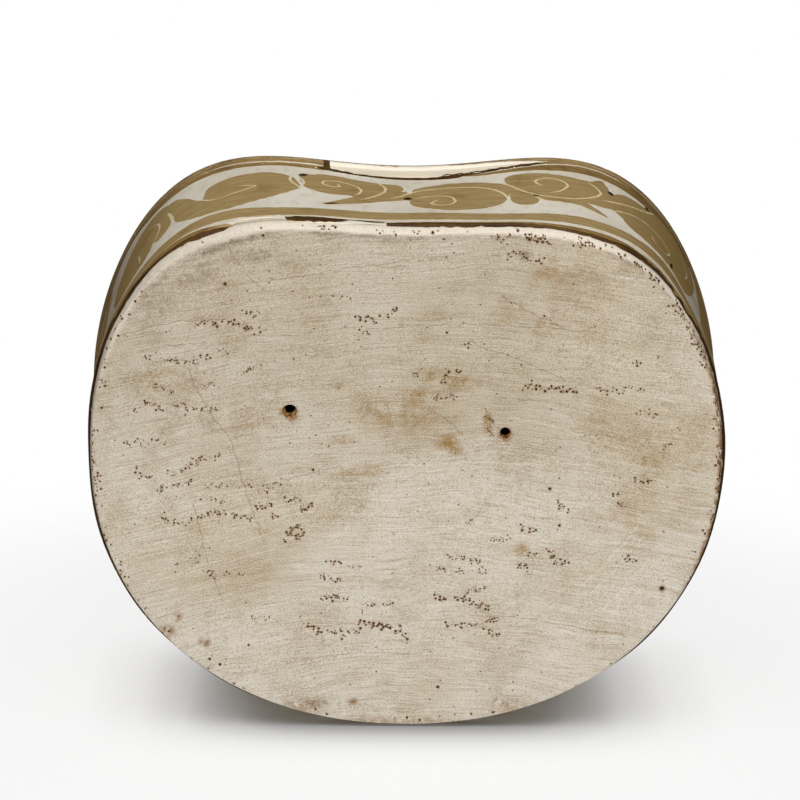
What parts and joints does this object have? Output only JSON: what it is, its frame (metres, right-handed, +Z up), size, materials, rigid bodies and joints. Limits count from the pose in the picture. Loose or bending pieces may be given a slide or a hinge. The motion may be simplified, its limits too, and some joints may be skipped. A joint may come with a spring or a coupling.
{
  "type": "ceramic pillow",
  "caption": "Bean-shaped slab-built ceramic pillow with a flat bare foot, vented base, flaring glazed wall with a painted leaf scroll and a dished headrest with an overhanging lip.",
  "frame": {"origin": "on the underside of the foot, on the symmetry plane, at the foot's widest line", "axes": "+X to the right along the pillow's width, -Y to the pressed-in front edge, +Z up from the foot to the headrest"},
  "size_m": [0.2858, 0.2405, 0.1173],
  "materials": {
    "buff_clay": "bare fired buff clay, wiped and scraped, with small iron pits",
    "white_glaze": "white slip under clear glaze, painted in brown with cut lines"
  },
  "bodies": {
    "root": {"foot_slab": "buff_clay", "front_wall": "buff_clay", "back_wall": "buff_clay", "headrest_slab": "buff_clay", "foot_coil": "buff_clay", "headrest_coil": "buff_clay", "left_seam_coil": "buff_clay", "right_seam_coil": "buff_clay", "wall_glaze": "white_glaze", "headrest_glaze": "white_glaze"}
  },
  "joints": []
}
